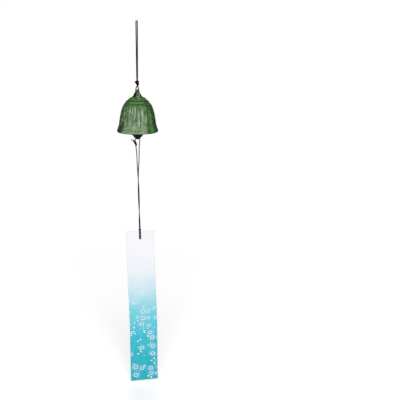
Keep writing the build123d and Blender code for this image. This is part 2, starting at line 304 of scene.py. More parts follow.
def add_values(piece, name, values):
    """Store one number for each vertex of a piece, for its material."""
    attribute = piece.data.attributes.new(name, "FLOAT", "POINT")
    attribute.data.foreach_set("value", np.asarray(values, dtype=np.float32).ravel())


def clean(piece):
    """Merge corners that coincide, and drop those that no face uses."""
    shaped = bmesh.new()
    shaped.from_mesh(piece.data)
    bmesh.ops.remove_doubles(shaped, verts=shaped.verts, dist=WELD * MM)
    unused = [corner for corner in shaped.verts if not corner.link_faces]
    bmesh.ops.delete(shaped, geom=unused, context="VERTS")
    shaped.to_mesh(piece.data)
    shaped.free()


def turned_frames(points, closed):
    """The direction and two cross directions at each point of a line, without needless twist."""
    count = len(points)
    directions = []
    for index in range(count):
        after = points[(index + 1) % count] if closed else points[min(index + 1, count - 1)]
        before = points[index - 1] if closed else points[max(index - 1, 0)]
        directions.append((after - before).normalized())
    start = Vector((0, 1, 0)) if abs(directions[0].y) < NEAR_Y_SHARE else Vector((1, 0, 0))
    side = directions[0].cross(start).normalized()
    frames = []
    for direction in directions:
        side = (side - direction * side.dot(direction)).normalized()
        frames.append((side, direction.cross(side)))
    return frames


def angles(count):
    """The angles of that many even steps round a circle."""
    return [2 * math.pi * step / count for step in range(count)]


def sweep(name, points, section, closed=False):
    """A tube along points in metres, whose section gives the reach and texture place of each corner."""
    travel = 0
    vertices, uvs = [], []
    for index, (point, (side, up)) in enumerate(zip(points, turned_frames(points, closed))):
        if index:
            travel += (point - points[index - 1]).length
        for angle in angles(CORD_SIDES):
            across, rise, place = section(angle, travel)
            vertices.append(point + side * across + up * rise)
            uvs.append(place)
    return new_piece(name, *tube_faces(vertices, uvs, points, closed))


def rope(name, points, diameter=THREAD_DIAMETER, lay=THREAD_LAY, plies=PLIES, depth=PLY_DEPTH_SHARE,
         closed=False):
    """A twisted cord along points in metres: round plies that wind about the line."""
    def section(angle, travel):
        wound = angle - 2 * math.pi * travel / (lay * MM)
        ply = abs(math.cos(plies * wound / 2)) ** PLY_POWER
        reach = diameter * MM / 2 * (1 - depth + depth * ply)
        place = (wound / (2 * math.pi), travel / (diameter * MM))
        return reach * math.cos(angle), reach * math.sin(angle), place

    return sweep(name, points, section, closed)


def ring_faces(count, sides, closed):
    """The faces that join a number of rings, each with that many sides."""
    faces = []
    for ring in range(count if closed else count - 1):
        low, high = ring * sides, (ring + 1) % count * sides
        for corner in range(sides):
            after = (corner + 1) % sides
            faces.append((low + corner, low + after, high + after, high + corner))
    return faces


def tube_faces(vertices, uvs, points, closed):
    """The faces of a cord's tube, with closed ends where it is open."""
    count = len(points)
    faces = ring_faces(count, CORD_SIDES, closed)
    if not closed:
        for ring, way in ((0, -1), (count - 1, 1)):
            vertices.append(points[ring])
            uvs.append(uvs[ring * CORD_SIDES])
            for corner in range(CORD_SIDES)[::way]:
                after = (corner + way) % CORD_SIDES
                faces.append((ring * CORD_SIDES + corner, ring * CORD_SIDES + after, len(vertices) - 1))
    return vertices, faces, uvs


def knot_points(centre, width, height, depth, tilt):
    """The line of an overhand knot, drawn tight: a closed trefoil that faces the front, in metres."""
    points = []
    turned = Matrix.Rotation(math.radians(tilt), 3, "Y")
    for t in angles(KNOT_STEPS):
        across = math.sin(t) + 2 * math.sin(2 * t)
        rise = math.cos(t) - 2 * math.cos(2 * t)
        place = Vector((across / KNOT_SPAN * width, -math.sin(3 * t) * depth / 2, rise / KNOT_SPAN * height))
        points.append(Vector(centre) * MM + turned @ place * MM)
    return points


def ring_points(level, radius):
    """A ring in the YZ plane, round the bar of an eye, in metres."""
    return in_metres([(0, radius * math.sin(t), level + radius * math.cos(t)) for t in angles(RING_STEPS)])


def leaned(points):
    """Points that hang below the thread loop, leaned to the right about its foot."""
    foot = Vector((0, 0, LOOP_FOOT_LEVEL * MM))
    lean = Matrix.Rotation(math.radians(-STRIP_LEAN), 3, "Y")
    return [foot + lean @ (point - foot) for point in points]


def tied(name, centre, knot, lay=THREAD_LAY):
    """A tied knot about a centre."""
    *sizes, diameter = knot
    return rope(name, knot_points(centre, *sizes), diameter, lay, closed=True)


def dress(piece, body, look, *nodes):
    """Give a piece its material, its body and the solids that it stands for."""
    material, slot = look
    piece.data.materials.append(material)
    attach(piece, body)
    if nodes:
        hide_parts(*nodes)
    return piece


def join(piece, look, node):
    """Give a piece that bends across a joint its material and the solid it stands for, and bake its place
    into its mesh.
    """
    material, slot = look
    piece.data.materials.append(material)
    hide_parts(node)
    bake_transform(piece)


class Shader:
    """The node tree of a material or of the world, with short ways to add nodes and join them."""

    def __init__(self, owner):
        self.owner = owner
        owner.use_nodes = True
        self.tree = owner.node_tree
        self.surface = self.tree.nodes.get("Principled BSDF")

    def add(self, kind, inputs=None, **settings):
        """A node with its settings and its inputs, which are numbers, colours or other nodes' outputs."""
        node = self.tree.nodes.new("ShaderNode" + kind)
        for name, value in settings.items():
            setattr(node, name, value)
        for name, value in (inputs or {}).items():
            self.put(node.inputs[name], value)
        return node

    def put(self, socket, value):
        """Set a socket to a number or colour, or link an output to it."""
        if isinstance(value, bpy.types.NodeSocket):
            self.tree.links.new(value, socket)
        else:
            socket.default_value = value

    def math(self, operation, first, second=0.0):
        """One step of arithmetic."""
        return self.add("Math", {0: first, 1: second}, operation=operation).outputs[0]

    def times(self, first, second):
        """A product."""
        return self.math("MULTIPLY", first, second)

    def mix(self, share, first, second):
        """A blend of two colours."""
        inputs = {"Factor": share, "A": first, "B": second}
        return self.add("Mix", inputs, data_type="RGBA").outputs["Result"]

    def noise(self, vector, scale, detail=2.0, roughness=0.5):
        """Soft noise from 0 to 1."""
        inputs = {"Vector": vector, "Scale": scale, "Detail": detail, "Roughness": roughness}
        return self.add("TexNoise", inputs).outputs["Fac"]

    def span(self, value, low, high, out_low=0.0, out_high=1.0):
        """A smooth step between two values."""
        inputs = {"Value": value, "From Min": low, "From Max": high, "To Min": out_low, "To Max": out_high}
        return self.add("MapRange", inputs, interpolation_type="SMOOTHSTEP").outputs["Result"]

    def ramp(self, value, stops):
        """A colour ramp of places and colours."""
        node = self.add("ValToRGB", {"Fac": value})
        elements = node.color_ramp.elements
        while len(elements) < len(stops):
            elements.new(1.0)
        for element, (place, shade) in zip(elements, stops):
            element.position = place
            element.color = shade
        return node.outputs["Color"]

    def value(self, name):
        """A number stored on the mesh."""
        return self.add("Attribute", attribute_name=name).outputs["Fac"]

    def stretched(self, vector, scale):
        """A texture place, stretched along its axes."""
        return self.add("Mapping", {"Vector": vector, "Scale": scale}).outputs["Vector"]

    def coat(self, colour, roughness, gloss):
        """Set the colour, roughness and gloss of the surface."""
        for name, value in (("Base Color", colour), ("Roughness", roughness), ("Specular IOR Level", gloss)):
            self.put(self.surface.inputs[name], value)

    def bump(self, height, strength, distance):
        """A bump of that height, in metres, on the surface."""
        inputs = {"Height": height, "Strength": strength, "Distance": distance}
        self.put(self.surface.inputs["Normal"], self.add("Bump", inputs).outputs["Normal"])

    def seen(self):
        """1 where the camera looks, straight or mirrored, and 0 for the light that falls on other things."""
        kinds = self.add("LightPath").outputs
        rays = kinds["Is Camera Ray"]
        for kind in ("Is Glossy Ray", "Is Transmission Ray"):
            rays = self.math("ADD", rays, kinds[kind])
        return rays


def paint(red, green, blue):
    """A colour for a shader, from the 0 to 255 levels seen on a screen."""
    levels = []
    for level in (red, green, blue):
        share = level / 255
        levels.append(share / 12.92 if share <= 0.04045 else ((share + 0.055) / 1.055) ** 2.4)
    return (*levels, 1.0)


# Ground colours of the strip, by the share of the way down: its pale top, then two kinds of turquoise
PAPER_TOP_STOPS = ((0.10, paint(242, 241, 246)), (0.26, paint(233, 236, 242)), (0.38, paint(200, 226, 236)))
BLUE_STOPS = ((0.52, paint(118, 206, 223)), (0.70, paint(68, 190, 214)), (1.00, paint(48, 170, 194)))
TEAL_STOPS = ((0.52, paint(122, 206, 217)), (0.70, paint(54, 188, 196)), (1.00, paint(38, 170, 178)))

# Each roughness below is a span of a noise and the roughness at both its ends

# Black fibre of cord and thread: its dark and rubbed shades and their places in the noise, its stretch and
# detail, the scale of its wear, then its roughness, gloss and bump
CORD_SHADES = (paint(5, 5, 6), paint(30, 30, 32))
THREAD_SHADES = (paint(4, 4, 5), paint(26, 26, 28))
SHADE_PLACES = (0.12, 0.55)
FIBRE_STRETCH = (26.0, 1.6, 1.0)
FIBRE_DETAIL = 3.0
WEAR_SCALE = 900.0
FIBRE_ROUGHNESS = (0.2, 0.8, 0.72, 0.92)
FIBRE_GLOSS = 0.06
FIBRE_BUMP = (0.6, 0.00012)

# Dark iron: scale and detail of its grain and patches, its colours, then its roughness, gloss and bump
IRON_GRAIN = (1600.0, 3.0)
IRON_PATCHES = (240.0, 2.0)
IRON_STOPS = ((0.3, paint(3, 4, 4)), (0.55, paint(8, 10, 9)), (0.75, paint(22, 25, 22)))
IRON_ROUGHNESS = (0.3, 0.7, 0.45, 0.68)
IRON_GLOSS = 0.08
IRON_BUMP = (0.5, 0.00025)

# Bell paint, from its hollows to its rubbed high places: as a rule, and where it is thick and smooth
WORN_STOPS = (
    (0.08, paint(26, 44, 20)), (0.30, paint(66, 96, 54)), (0.50, paint(108, 134, 98)),
    (0.70, paint(142, 166, 132)), (0.95, paint(178, 196, 172)),
)
GLAZE_STOPS = ((0.10, paint(24, 54, 16)), (0.5, paint(72, 122, 58)), (0.95, paint(118, 170, 102)))
BARE_PAINT = paint(122, 122, 104)
# Dark green of the painted shade in furrows, grooves and hollows, and of the dark paint in the hollows
SHADE_AND_DIRT_PAINT = paint(7, 16, 5)
INSIDE_PAINT = paint(34, 42, 30)

# Scale, detail and roughness of the paint's noises, how much they change its shade, the streaks of its bare
# patches, then its roughness, gloss and bump
GRIT = (1500.0, 3.0, 0.6)
BLOTCH = (170.0, 3.0, 0.6)
GRIT_SHARE = 0.55
BLOTCH_SHARE = 0.5
STREAK_STRETCH = (900.0, 900.0, 130.0)
STREAK_DETAIL = 3.0
BARE_EDGE = (0.38, 0.56)
BARE_SHARE = 0.65
PAINT_ROUGHNESS = (0.3, 0.7, 0.74, 0.88)
PAINT_GLOSS = 0.12
PAINT_BUMP = (0.45, 0.0003)

# Paper: how far its ground colours wander, the patches of its two turquoises, and the colours of its print
WASH = (0.045, 2.0)
WASH_REACH = 26.0
PATCH_STRETCH = (0.12, 0.07, 1.0)
PATCH_DETAIL = 2.0
PATCH_EDGE = (0.40, 0.60)
SHADE_INK = paint(70, 130, 184)
PALE_INK = paint(238, 242, 253)

# Fibres of the paper, with their flecks, then its roughness, gloss and bump
PULP = (2.2, 4.0, 0.6)
FLECK_PAINT = paint(170, 178, 186)
FLECKS = (0.55, 0.9, 0.0, 0.08)
PAPER_ROUGHNESS = (0.3, 0.7, 0.78, 0.92)
PAPER_GLOSS = 0.2
PAPER_BUMP = (0.25, 0.00006)


def cord_material(name, shades):
    """Matt black twisted fibre, a little greyer where the plies are rubbed."""
    shader = Shader(bpy.data.materials.new(name))
    places = shader.add("UVMap", uv_map="UVMap").outputs["UV"]
    fibres = shader.noise(shader.stretched(places, FIBRE_STRETCH), 1.0, FIBRE_DETAIL)
    worn = shader.noise(shader.add("TexCoord").outputs["Object"], WEAR_SCALE)
    shade = shader.ramp(shader.times(fibres, worn), tuple(zip(SHADE_PLACES, shades)))
    shader.coat(shade, shader.span(fibres, *FIBRE_ROUGHNESS), FIBRE_GLOSS)
    shader.bump(fibres, *FIBRE_BUMP)
    return shader.owner


def iron_material():
    """Dark cast iron with a fine sand grain."""
    shader = Shader(bpy.data.materials.new("clapper_iron"))
    places = shader.add("TexCoord").outputs["Object"]
    grain = shader.noise(places, *IRON_GRAIN)
    patches = shader.noise(places, *IRON_PATCHES)
    shade = shader.math("ADD", shader.times(grain, 0.5), shader.times(patches, 0.5))
    shader.coat(shader.ramp(shade, IRON_STOPS), shader.span(patches, *IRON_ROUGHNESS), IRON_GLOSS)
    shader.bump(grain, *IRON_BUMP)
    return shader.owner


def bell_material():
    """Antique green paint on a rough casting: dark paint and painted shade in the hollows, pale where the
    high places are rubbed, with painted highlights.
    """
    shader = Shader(bpy.data.materials.new("bell_paint"))
    places = shader.add("TexCoord").outputs["Object"]
    grit = shader.noise(places, *GRIT)
    blotch = shader.noise(places, *BLOTCH)
    streaks = shader.noise(shader.stretched(places, STREAK_STRETCH), 1.0, STREAK_DETAIL)
    height = shader.value("relief")
    for noise, share in ((grit, GRIT_SHARE), (blotch, BLOTCH_SHARE)):
        change = shader.times(shader.math("SUBTRACT", noise, 0.5), share)
        height = shader.math("ADD", height, change)
    bare = shader.times(shader.value("bare"), shader.span(streaks, *BARE_EDGE))
    worn = shader.mix(shader.times(bare, BARE_SHARE), shader.ramp(height, WORN_STOPS), BARE_PAINT)
    glazed = shader.mix(shader.value("glaze"), worn, shader.ramp(height, GLAZE_STOPS))
    # Painted shade, with dark paint in the hollows
    with_painted_shade = shader.mix(shader.value("dirt_and_shade"), glazed, SHADE_AND_DIRT_PAINT)
    shade = shader.mix(shader.value("inside"), with_painted_shade, INSIDE_PAINT)
    shader.coat(shade, shader.span(blotch, *PAINT_ROUGHNESS), PAINT_GLOSS)
    shader.bump(shader.math("ADD", grit, blotch), *PAINT_BUMP)
    return shader.owner


def paper_ground(shader, places, down):
    """The paper's colour: a pale top that runs into two kinds of turquoise."""
    wander = shader.times(shader.math("SUBTRACT", shader.noise(places, *WASH), 0.5), WASH_REACH)
    level = shader.math("DIVIDE", shader.math("ADD", down, wander), STRIP_LENGTH)
    patches = shader.noise(shader.stretched(places, PATCH_STRETCH), 1.0, PATCH_DETAIL)
    blue, teal = (shader.ramp(level, PAPER_TOP_STOPS + stops) for stops in (BLUE_STOPS, TEAL_STOPS))
    return shader.mix(shader.span(patches, *PATCH_EDGE), blue, teal)


def paper_material():
    """Matt paper, white at the top and turquoise below, with an even scatter of pale rings and drops."""
    shader = Shader(bpy.data.materials.new("strip_paper"))
    places = shader.add("UVMap", uv_map="UVMap").outputs["UV"]
    down = shader.add("SeparateXYZ", {"Vector": places}).outputs["Y"]
    start = shader.span(down, *PRINT_START)
    rings, shades, _ = ring_pattern(shader, places)
    marks = shader.times(shader.math("MAXIMUM", rings, drop_pattern(shader, places)), start)
    ground = paper_ground(shader, places, down)
    shaded = shader.mix(shader.times(shades, start), ground, SHADE_INK)
    printed = shader.mix(marks, shaded, PALE_INK)
    fibre = shader.noise(places, *PULP)
    flecked = shader.mix(shader.span(fibre, *FLECKS), printed, FLECK_PAINT)
    shader.coat(flecked, shader.span(fibre, *PAPER_ROUGHNESS), PAPER_GLOSS)
    shader.bump(fibre, *PAPER_BUMP)
    return shader.owner


def ring_pattern(shader, places):
    """Dots with a ring and a fainter one round it, in most cells of a loose scatter; then the shade in them
    and the room left between them."""
    wide = shader.stretched(places, (1.0, RING_SQUEEZE, 1.0))
    inputs = {"Vector": wide, "Scale": 1 / RING_CELL, "Randomness": RING_RANDOM}
    cells = shader.add("TexVoronoi", inputs, voronoi_dimensions="2D")
    chance = shader.add("SeparateColor", {"Color": cells.outputs["Color"]}).outputs
    reach = shader.times(cells.outputs["Distance"], RING_CELL)
    size = shader.span(chance["Red"], 0.0, 1.0, *RING_SIZES)
    share = shader.math("DIVIDE", reach, size)
    wave = shader.math("COSINE", shader.times(share, 2 * math.pi))
    strength = shader.span(share, *RING_FADE_SHARES, 1.0, RING_FAINT)
    chosen = shader.math("GREATER_THAN", chance["Green"], RING_GAPS)
    extent = shader.times(shader.span(share, *RING_END_SHARES, 1.0, 0.0), chosen)
    whole = shader.times(strength, extent)
    rings = shader.times(shader.span(wave, *RING_EDGE_SHARES), whole)
    shades = shader.times(shader.span(wave, *SHADE_EDGE_SHARES, 0.0, RING_SHADE), whole)
    return rings, shades, shader.math("SUBTRACT", 1.0, extent)


def drop_pattern(shader, places):
    """Small lying drops, clear of the rings, that gather in short slanting trails."""
    across, down = DROP_CELL
    cell_places = shader.stretched(places, (1 / across, 1 / down, 1.0))
    inputs = {"Vector": cell_places, "Randomness": DROP_RANDOM, "Scale": 1.0}
    cells = shader.add("TexVoronoi", inputs, voronoi_dimensions="2D").outputs
    middles = shader.stretched(cells["Position"], (across, down, 1.0))
    slant = (0, 0, math.radians(TRAIL_SLANT))
    inputs = {"Vector": middles, "Rotation": slant, "Scale": (*TRAIL_SIZE, 1.0)}
    turned = shader.add("Mapping", inputs, vector_type="TEXTURE").outputs["Vector"]
    trails = shader.span(shader.noise(turned, 1.0, 1.0), *TRAIL_EDGE)
    room = ring_pattern(shader, middles)[2]
    spots = shader.span(cells["Distance"], *DROP_EDGE, 1.0, 0.0)
    return shader.times(spots, shader.times(trails, room))


def arc(start, end, bulge, step):
    """Points of an arc that stands out from its chord, to the right of the way along it."""
    start, end = np.array(start, float), np.array(end, float)
    chord = end - start
    length = np.linalg.norm(chord)
    outward = np.array((chord[1], -chord[0])) / length
    count = max(2, round(length / step))
    shares = np.arange(count) / count
    return [start + chord * share + outward * (bulge * 4 * share * (1 - share)) for share in shares]


def smooth_line(points, step):
    """Points of a smooth line through an outline's points, without the last one."""
    points = [np.array(point, float) for point in points]
    padded = [2 * points[0] - points[1], *points, 2 * points[-1] - points[-2]]
    line = []
    for before, start, end, after in zip(padded, padded[1:], padded[2:], padded[3:]):
        length = np.linalg.norm(end - start)
        lead = (end - before) * (length / (length + np.linalg.norm(start - before)))
        trail = (after - start) * (length / (length + np.linalg.norm(after - end)))
        count = max(2, round(length / step))
        for share in np.arange(count) / count:
            squared, cubed = share**2, share**3
            line.append((2 * cubed - 3 * squared + 1) * start + (cubed - 2 * squared + share) * lead
                        + (3 * squared - 2 * cubed) * end + (cubed - squared) * trail)
    return line


def bell_outline():
    """The closed outline of the bell's wall, with a zone name for each of its points."""
    quarter = [math.radians(angle) for angle in range(-90, 0, LIP_STEP)]
    across, up = LIP_CENTRE
    lip = [(across + LIP_ROUND * math.cos(angle), up + LIP_ROUND * math.sin(angle)) for angle in quarter]
    zones = (
        ("lip", lip),
        ("body", smooth_line(BODY_OUTLINE, OUTER_STEP)),
        ("groove", arc(BODY_OUTLINE[-1], GROOVE, GROOVE_BULGE, OUTER_STEP)),
        ("bead", arc(GROOVE, BEAD_TOP, BEAD_BULGE, OUTER_STEP)),
        ("cap", arc(BEAD_TOP, NECK_OUTLINE[0], CAP_BULGE, OUTER_STEP)),
        ("neck", smooth_line(NECK_OUTLINE, OUTER_STEP)),
        ("neck", smooth_line(NECK_TOP_OUTLINE, OUTER_STEP)),
        ("inside", smooth_line(BORE_OUTLINE, INNER_STEP)),
        ("inside", smooth_line(INNER_OUTLINE, INNER_STEP)),
        ("inside", [INNER_OUTLINE[-1]]),
    )
    outline = np.array([point for _, line in zones for point in line], float)
    names = np.array([name for name, line in zones for _ in line])
    return outline, names


def lattice_noise(turn, rise, columns, rows, seed):
    """Soft noise from 0 to 1 that closes round the bell, by shares of a whole turn and of a height."""
    grid = np.random.default_rng(SEED + seed).random((rows + 3, columns))
    across, up = (turn % 1) * columns, np.clip(rise, 0, 1) * rows
    column, row = np.floor(across).astype(int) % columns, np.floor(up).astype(int)
    x, y = across - np.floor(across), up - row
    x, y = x * x * (3 - 2 * x), y * y * (3 - 2 * y)
    after = (column + 1) % columns
    low = grid[row, column] * (1 - x) + grid[row, after] * x
    high = grid[row + 1, column] * (1 - x) + grid[row + 1, after] * x
    return low * (1 - y) + high * y


# Light panels round the body, between dark fields: the middle of each in degrees to the right of the front,
# its two sides from there, at its top and at the rim, and the half width of their soft edges
PANEL_MIDDLES = (0, 180)
PANEL_LEFT = (-41, -48)
PANEL_RIGHT = (37, 33)
PANEL_EDGE = 8

# Streaks on a panel: degrees from its middle, height of the middle above the rim, half length, half width and
# rise, with negative rises for dark furrows
PANEL_STREAKS = (
    (-26, 31.0, 4.5, 1.2, 0.30), (-19.2, 29.0, 7.5, 0.6, -0.34), (-15.7, 30.5, 5.5, 0.9, 0.32),
    (-10.5, 30.0, 6.5, 0.5, -0.30), (-5.4, 30.5, 4.5, 0.7, 0.22), (0.7, 28.0, 9.5, 0.6, -0.34),
    (7.6, 20.0, 9.0, 0.6, 0.52), (4.4, 31.0, 4.0, 0.5, 0.16), (11.9, 15.0, 9.0, 0.6, -0.30),
    (13.5, 29.0, 6.0, 0.5, -0.20), (18.9, 26.0, 7.0, 1.4, 0.26), (28.5, 28.0, 7.0, 0.6, -0.28),
    (33.2, 20.0, 8.0, 0.8, 0.32), (-33, 20.0, 12.0, 0.8, -0.30), (-22, 15.0, 4.0, 1.6, 0.14),
    (-8, 9.0, 5.0, 1.4, 0.12), (17, 10.0, 6.0, 1.6, 0.20), (26, 8.0, 4.0, 1.6, 0.18),
    (-28, 7.0, 3.5, 2.0, 0.14), (-3, 18.0, 6.0, 0.7, -0.16),
)
STREAK_SHARE = 0.75

# The power that gives strokes and smooth bands their firm edges
EDGE_POWER = 4

# Short slanting strokes on the dark field left of each panel, in degrees from the panel's middle
STROKE_COUNT = 70
STROKE_FIELD = (-84, -40)
STROKE_HEIGHTS = (10, 35)
STROKE_HALF_LENGTH = (1.2, 2.4)
STROKE_HALF_WIDTH = 0.30
STROKE_RISE = 0.40
STROKE_SLANT = 0.12

# Where strokes pile up, the casting's relief levels off at this height
RELIEF_LIMIT = 0.34

# Grids of soft noise: columns round the bell, rows up it and a seed
PATCH_GRID = (52, 12, 2)
GRAIN_GRID = (168, 44, 3)
CAP_GRID = (36, 3, 5)
DRIFT_GRID = (30, 5, 6)
BREAK_GRID = (66, 7, 7)
FOOT_GRID = (34, 12, 8)
MOTTLE_GRID = (58, 7, 9)

# Depth of the rough patches and grains, and the heights between which the body's relief rises and falls
PATCH_DEPTH = 0.14
GRAIN_DEPTH = 0.22
RELIEF_FOOT = (2.0, 2.5)
RELIEF_TOP = (36.4, 1.2)
CAP_DEPTH = 0.18
CAP_SPAN = (40, 7)

# Fine lines that run down the casting: their count round a whole turn, how they wander and break, their depth
# low down and what is added above a height
LINE_COUNT = 88
LINE_WANDER = 0.7
LINE_BREAK_SHARES = (0.2, 0.8)
LINE_DEPTHS = (0.08, 0.17)
LINE_FOOT = (12, 8)

# Fine lines round the foot of the panels: spacing, how they wander, depth, and where they fade out
FOOT_LINE_SPACING = 1.75
FOOT_LINE_WANDER = 0.5
FOOT_LINE_DEPTH = 0.42
FOOT_LINE_TOP = (21, 5)

# Smooth green band right of each panel: degrees from the panel's middle and half width, where it fades out,
# and how much of the relief it takes away
SMOOTH_BAND = (49, 9)
SMOOTH_TOP = (35, 9)
SMOOTH_SHARE = 0.65

# Bare, brownish patches: degrees from the panel's middle, height, half length and half width
BARE_PATCHES = ((21, 33.5, 2.6, 4.0), (-27, 17.5, 3.0, 4.5), (24, 8.5, 3.5, 4.0))

# Painted highlight, a pale facet at the foot of the neck: degrees, height, half length, half width, how much
# paler, and slant
CAP_FOOT_HIGHLIGHT = (14, 45.6, 1.7, 1.5, 0.34, 0)

# Furrows of the neck, dark with painted shade: degrees to the right of the front, half width and depth of
# that painted shade; then the power that makes their sides steep, their depth, and where they start and end
NECK_FURROWS = ((-44, 28, 1.0), (56, 10, 0.6), (132, 18, 0.9), (-152, 11, 0.8))
FURROW_POWER = 10
FURROW_DEPTH = 0.35
FURROW_FOOT = (45.8, 0.6)
FURROW_TOP = (54.2, 3.2)

# How worn and pale the paint is, from 0 to 1: the body, its panels with what they gain towards the rim, its
# relief and smooth bands, cap and neck with their mottling, the bead with its crest and painted highlight,
# groove and lip
BODY_WORN = 0.16
PANEL_WORN = (0.32, 0.07)
RELIEF_WORN = 1.2
SMOOTH_WORN = 0.36
CAP_WORN = (0.38, 0.8)
NECK_WORN = (0.40, 0.6)
MOTTLE_SPAN = (40, 8)
BEAD_WEAR_AND_HIGHLIGHT = (0.24, 0.20, 0.36)
CREST_POWER = 3
GROOVE_WORN = 0.36
LIP_WORN = 0.12
LIP_LINE = (1.6, 0.9)

# How thick and smooth the paint is on the bead, on the cap and on the body's top edge
BEAD_GLAZE = 0.85
CAP_GLAZE = 0.75
GLAZE_FOOT = (34.2, 1.6)

# Painted shade on the neck's top, below and above the bead, and with dark paint in the relief; darker lip
# foot
NECK_TOP_SHADE = 0.4
NECK_TOP_SHADE_FOOT = (51, 2)
UNDER_BEAD_SHADE = 0.12
UNDER_LINE = (0.7, 1.0)
OVER_BEAD_SHADE = 0.6
OVER_LINE = (0.2, 0.4)
HOLLOW_DIRT_AND_SHADE = (0.8, 0.5)
LIP_FOOT_DARKENING = (1.1, 0.8, 0.85)


def rising(height, start, length):
    """0 up to a height, then rising to 1 within a length."""
    return np.clip((height - start) / length, 0, 1)


def falling(height, end, length):
    """1 up to a length below a height, then falling to 0 there."""
    return np.clip((end - height) / length, 0, 1)


def line_share(height, middle, half):
    """1 at a height, fading softly on both sides."""
    return np.exp(-((height - middle) / half) ** 2)


def turned_from(turn, degrees):
    """Degrees from a place round the bell, from -180 to 180."""
    return (turn * 360 - degrees + 180) % 360 - 180


def stroke(turn, height, radius, places):
    """One soft stroke of relief on the casting: its place, half sizes, rise and slant."""
    degrees, middle, half_length, half_width, rise, slant = places
    across = np.radians(turned_from(turn, degrees)) * radius + slant * (height - middle)
    return rise * np.exp(-(across / half_width) ** 2 - np.abs((height - middle) / half_length) ** EDGE_POWER)


def panel_share(turn, height):
    """1 on the light panels and 0 on the dark fields between them."""
    drop = np.clip(1 - height / BODY_TOP, 0, 1)
    left, right = (side[0] + (side[1] - side[0]) * drop for side in (PANEL_LEFT, PANEL_RIGHT))
    middles = [middle + (left + right) / 2 for middle in PANEL_MIDDLES]
    away = np.min([np.abs(turned_from(turn, middle)) for middle in middles], axis=0)
    share = np.clip(((right - left) / 2 + PANEL_EDGE - away) / (2 * PANEL_EDGE), 0, 1)
    return share * share * (3 - 2 * share)


def smooth_share(turn, height):
    """1 on the smooth green bands, fading out below the bead."""
    place, half = SMOOTH_BAND
    bands = [np.exp(-(turned_from(turn, middle + place) / half) ** EDGE_POWER) for middle in PANEL_MIDDLES]
    return np.max(bands, axis=0) * falling(height, *SMOOTH_TOP)


def bare_share(turn, height, radius):
    """How bare the paint is, in soft patches on the panels."""
    share = np.zeros_like(turn)
    for middle in PANEL_MIDDLES:
        for degrees, level, half_length, half_width in BARE_PATCHES:
            places = (middle + degrees, level, half_length, half_width, 1, 0)
            share = np.maximum(share, stroke(turn, height, radius, places))
    return share


def fine_lines(turn, height):
    """Broken fine lines, in millimetres: down the upper body, and round it near the foot of the panels."""
    rise = height / BODY_TOP
    drift = lattice_noise(turn, rise, *DRIFT_GRID)
    kept, broken = LINE_BREAK_SHARES
    down = np.sin(2 * math.pi * (LINE_COUNT * turn + LINE_WANDER * drift))
    down *= kept + broken * lattice_noise(turn, rise, *BREAK_GRID)
    down *= LINE_DEPTHS[0] + LINE_DEPTHS[1] * rising(height, *LINE_FOOT)
    round_it = np.sin(2 * math.pi * (height / FOOT_LINE_SPACING + FOOT_LINE_WANDER * drift))
    round_it *= lattice_noise(turn, rise, *FOOT_GRID)
    round_it *= FOOT_LINE_DEPTH * falling(height, *FOOT_LINE_TOP) * panel_share(turn, height)
    return down + round_it


def body_relief(turn, height, radius):
    """Relief of the rough body, in millimetres: streaks of all lengths that run down the casting."""
    rise = height / BODY_TOP
    relief = PATCH_DEPTH * (lattice_noise(turn, rise, *PATCH_GRID) - 0.5)
    relief += GRAIN_DEPTH * (lattice_noise(turn, rise, *GRAIN_GRID) - 0.5)
    relief += fine_lines(turn, height)
    random = np.random.default_rng(SEED)
    for shift in PANEL_MIDDLES:
        for degrees, middle, half_length, half_width, lift in PANEL_STREAKS:
            places = (degrees + shift, middle, half_length, half_width, STREAK_SHARE * lift, 0)
            relief += stroke(turn, height, radius, places)
        for _ in range(STROKE_COUNT):
            places = (shift + random.uniform(*STROKE_FIELD), random.uniform(*STROKE_HEIGHTS),
                      random.uniform(*STROKE_HALF_LENGTH), STROKE_HALF_WIDTH, STROKE_RISE, -STROKE_SLANT)
            relief += stroke(turn, height, radius, places)
    return relief


def neck_furrows(turn, height):
    """How deep in a dark furrow of the neck a place lies, from 0 to 1."""
    share = np.zeros_like(turn)
    for degrees, half, depth in NECK_FURROWS:
        share = np.maximum(share, depth * np.exp(-(turned_from(turn, degrees) / half) ** FURROW_POWER))
    return share * rising(height, *FURROW_FOOT) * falling(height, *FURROW_TOP)


def bell_relief(zone, turn, height, radius):
    """Relief of the casting, in millimetres: its rough body, its cap and the furrows of its neck."""
    body = body_relief(turn, height, radius) * rising(height, *RELIEF_FOOT) * falling(height, *RELIEF_TOP)
    relief = np.where(zone == "body", body * (1 - SMOOTH_SHARE * smooth_share(turn, height)), 0)
    cap = lattice_noise(turn, rising(height, *CAP_SPAN), *CAP_GRID) - 0.5
    relief += np.where(zone == "cap", CAP_DEPTH * cap, 0)
    relief -= np.where(zone == "neck", FURROW_DEPTH * neck_furrows(turn, height), 0)
    return relief


